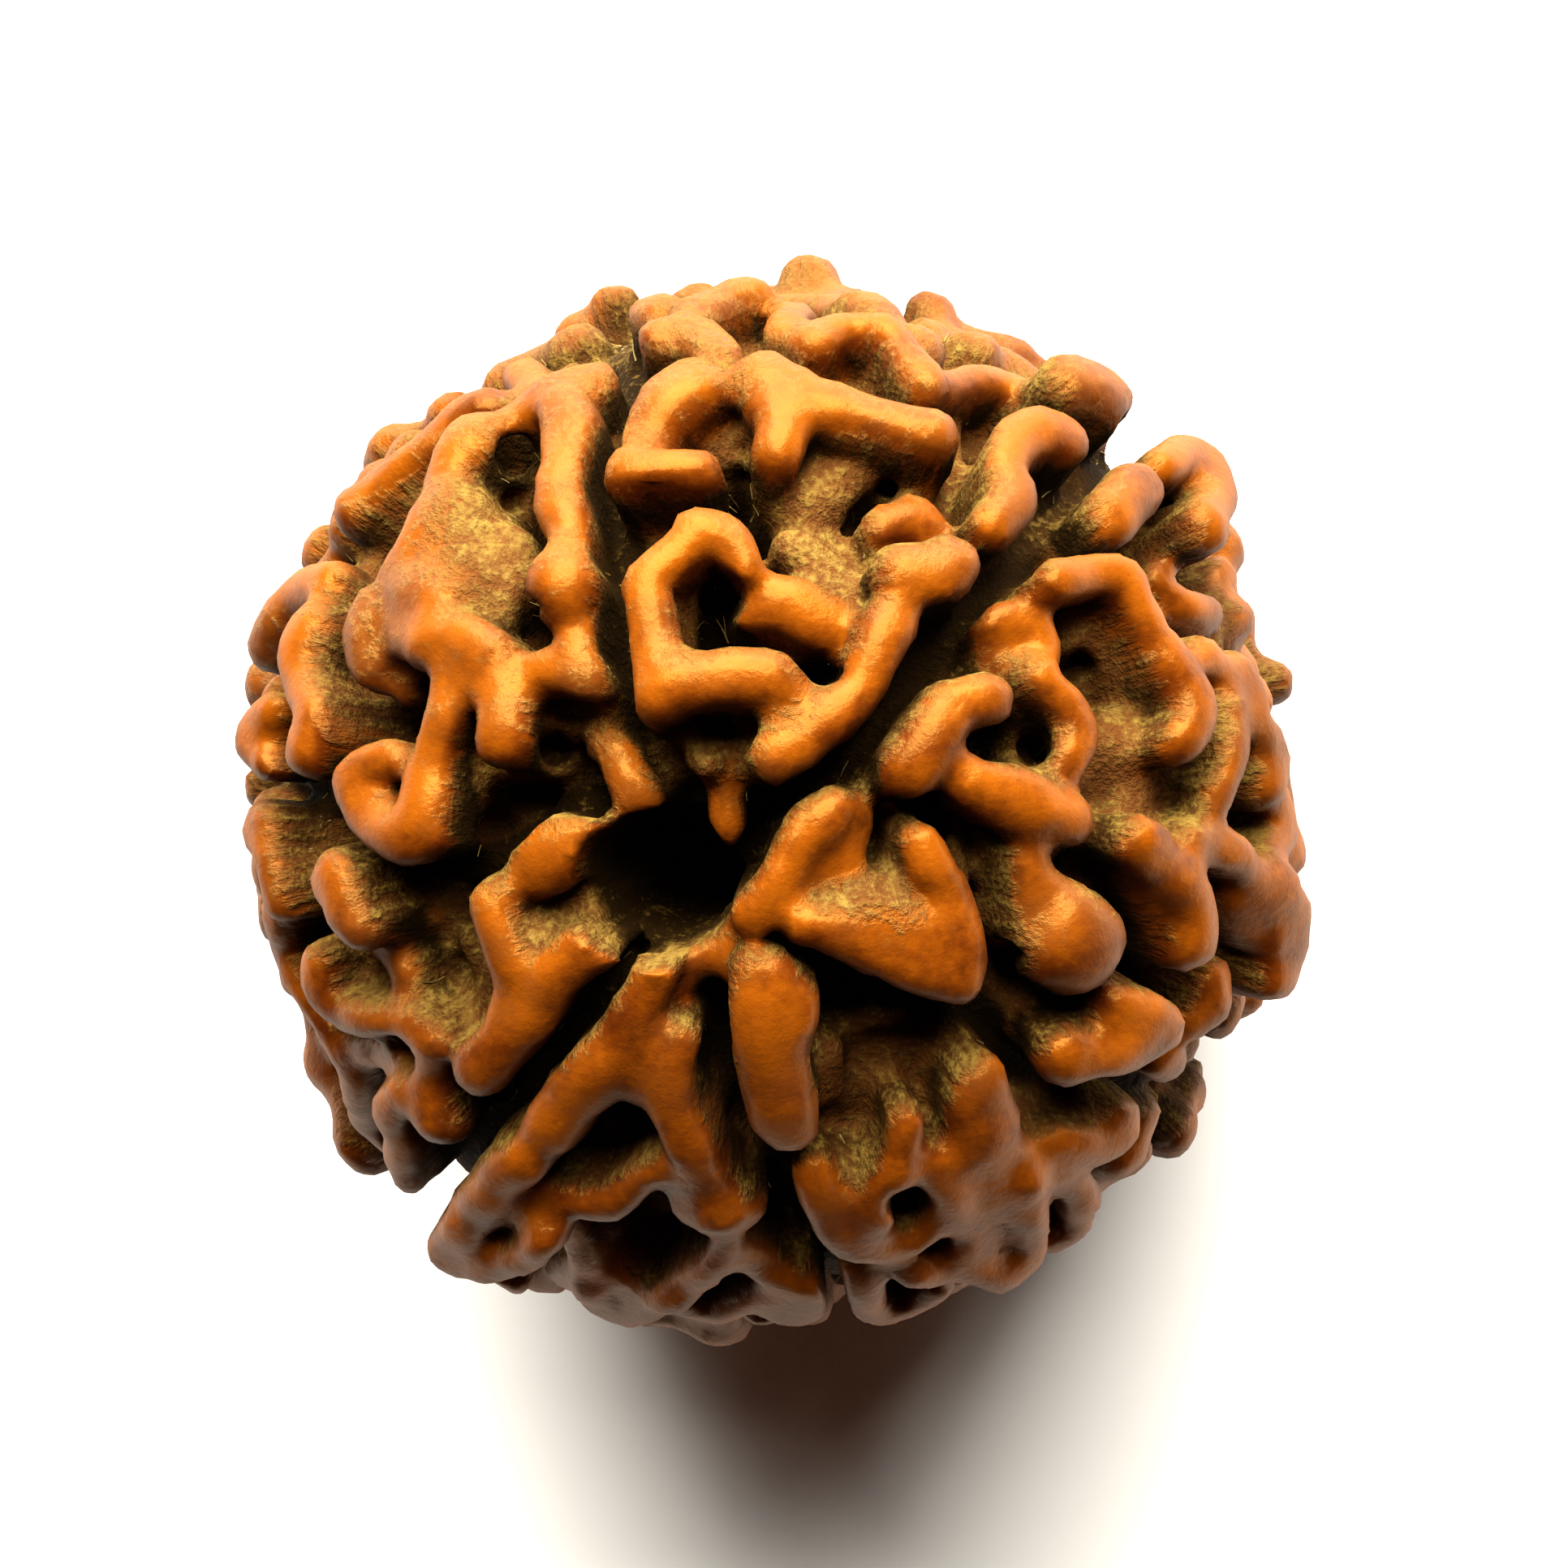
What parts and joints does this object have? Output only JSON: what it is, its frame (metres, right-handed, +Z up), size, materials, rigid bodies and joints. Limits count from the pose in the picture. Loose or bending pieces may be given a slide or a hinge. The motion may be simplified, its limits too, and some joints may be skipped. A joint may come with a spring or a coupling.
{
  "type": "rudraksha bead",
  "caption": "Round rudraksha bead: a dried fruit stone with knobbly branching ridges, deep furrows from pole to pole and a narrow bore through it.",
  "frame": {"origin": "on the ground under the middle of the bead's bounding box", "axes": "+Z up along the bore, towards the pole that the picture shows; +X to the picture's right, +Y to the picture's top"},
  "size_m": [0.0242, 0.0238, 0.0229],
  "materials": {
    "bead": "waxed orange-brown fruit stone, glossy on the ridges and dusty in the hollows"
  },
  "bodies": {
    "root": {"bead": "bead"}
  },
  "joints": []
}
